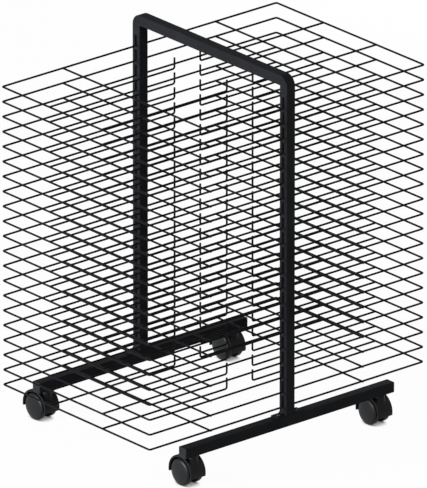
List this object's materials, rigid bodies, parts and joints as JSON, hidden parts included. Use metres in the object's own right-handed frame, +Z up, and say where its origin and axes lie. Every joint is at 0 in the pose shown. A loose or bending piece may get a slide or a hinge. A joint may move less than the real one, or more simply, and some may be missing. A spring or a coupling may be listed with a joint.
{
  "type": "art drying rack",
  "caption": "Rolling drying rack: a square-tube hoop on two feet with twin-wheel casters, carrying stacked wire half-shelves on both sides.",
  "frame": {"origin": "on the floor under the middle of the overall footprint, casters trailing to -X", "axes": "+X across the hoop, +Y along the feet and shelves, +Z up"},
  "size_m": [0.522, 0.7172, 0.8085],
  "materials": {
    "tube": "satin black powder coat on steel tube",
    "wire": "satin black powder coat on steel wire",
    "hood": "moulded black nylon",
    "wheel": "moulded dark grey nylon"
  },
  "bodies": {
    "frame": {"hoop": "tube", "base_plate_left": "tube", "base_plate_right": "tube", "foot_left": "tube", "foot_right": "tube", "shelf_front_01": "wire", "shelf_front_02": "wire", "shelf_front_03": "wire", "shelf_front_04": "wire", "shelf_front_05": "wire", "shelf_front_06": "wire", "shelf_front_07": "wire", "shelf_front_08": "wire", "shelf_front_09": "wire", "shelf_front_10": "wire", "shelf_front_11": "wire", "shelf_front_12": "wire", "shelf_front_13": "wire", "shelf_front_14": "wire", "shelf_front_15": "wire", "shelf_front_16": "wire", "shelf_front_17": "wire", "shelf_front_18": "wire", "shelf_front_19": "wire", "shelf_front_20": "wire", "shelf_front_21": "wire", "shelf_back_01": "wire", "shelf_back_02": "wire", "shelf_back_03": "wire", "shelf_back_04": "wire", "shelf_back_05": "wire", "shelf_back_06": "wire", "shelf_back_07": "wire", "shelf_back_08": "wire", "shelf_back_09": "wire", "shelf_back_10": "wire", "shelf_back_11": "wire", "shelf_back_12": "wire", "shelf_back_13": "wire", "shelf_back_14": "wire", "shelf_back_15": "wire", "shelf_back_16": "wire", "shelf_back_17": "wire", "shelf_back_18": "wire", "shelf_back_19": "wire", "shelf_back_20": "wire", "shelf_back_21": "wire"},
    "caster_front_left": {"caster_front_left_housing": "hood"},
    "caster_front_left_wheel_front": {"caster_front_left_wheel_front": "wheel"},
    "caster_front_left_wheel_back": {"caster_front_left_wheel_back": "wheel"},
    "caster_front_right": {"caster_front_right_housing": "hood"},
    "caster_front_right_wheel_front": {"caster_front_right_wheel_front": "wheel"},
    "caster_front_right_wheel_back": {"caster_front_right_wheel_back": "wheel"},
    "caster_back_left": {"caster_back_left_housing": "hood"},
    "caster_back_left_wheel_front": {"caster_back_left_wheel_front": "wheel"},
    "caster_back_left_wheel_back": {"caster_back_left_wheel_back": "wheel"},
    "caster_back_right": {"caster_back_right_housing": "hood"},
    "caster_back_right_wheel_front": {"caster_back_right_wheel_front": "wheel"},
    "caster_back_right_wheel_back": {"caster_back_right_wheel_back": "wheel"}
  },
  "joints": [
    {"name": "caster_front_left_swivel", "type": "hinge", "parent": "frame", "child": "caster_front_left", "pos_m": [-0.2065, -0.2442, 0.066], "axis": [0, 0, 1], "continuous": true},
    {"name": "caster_front_left_wheel_front_spin", "type": "hinge", "parent": "caster_front_left", "child": "caster_front_left_wheel_front", "pos_m": [-0.225, -0.2442, 0.0275], "axis": [0, 1, 0], "continuous": true},
    {"name": "caster_front_left_wheel_back_spin", "type": "hinge", "parent": "caster_front_left", "child": "caster_front_left_wheel_back", "pos_m": [-0.225, -0.2442, 0.0275], "axis": [0, 1, 0], "continuous": true},
    {"name": "caster_front_right_swivel", "type": "hinge", "parent": "frame", "child": "caster_front_right", "pos_m": [0.2435, -0.2442, 0.066], "axis": [0, 0, 1], "continuous": true},
    {"name": "caster_front_right_wheel_front_spin", "type": "hinge", "parent": "caster_front_right", "child": "caster_front_right_wheel_front", "pos_m": [0.225, -0.2442, 0.0275], "axis": [0, 1, 0], "continuous": true},
    {"name": "caster_front_right_wheel_back_spin", "type": "hinge", "parent": "caster_front_right", "child": "caster_front_right_wheel_back", "pos_m": [0.225, -0.2442, 0.0275], "axis": [0, 1, 0], "continuous": true},
    {"name": "caster_back_left_swivel", "type": "hinge", "parent": "frame", "child": "caster_back_left", "pos_m": [-0.2065, 0.2442, 0.066], "axis": [0, 0, 1], "continuous": true},
    {"name": "caster_back_left_wheel_front_spin", "type": "hinge", "parent": "caster_back_left", "child": "caster_back_left_wheel_front", "pos_m": [-0.225, 0.2442, 0.0275], "axis": [0, 1, 0], "continuous": true},
    {"name": "caster_back_left_wheel_back_spin", "type": "hinge", "parent": "caster_back_left", "child": "caster_back_left_wheel_back", "pos_m": [-0.225, 0.2442, 0.0275], "axis": [0, 1, 0], "continuous": true},
    {"name": "caster_back_right_swivel", "type": "hinge", "parent": "frame", "child": "caster_back_right", "pos_m": [0.2435, 0.2442, 0.066], "axis": [0, 0, 1], "continuous": true},
    {"name": "caster_back_right_wheel_front_spin", "type": "hinge", "parent": "caster_back_right", "child": "caster_back_right_wheel_front", "pos_m": [0.225, 0.2442, 0.0275], "axis": [0, 1, 0], "continuous": true},
    {"name": "caster_back_right_wheel_back_spin", "type": "hinge", "parent": "caster_back_right", "child": "caster_back_right_wheel_back", "pos_m": [0.225, 0.2442, 0.0275], "axis": [0, 1, 0], "continuous": true}
  ]
}
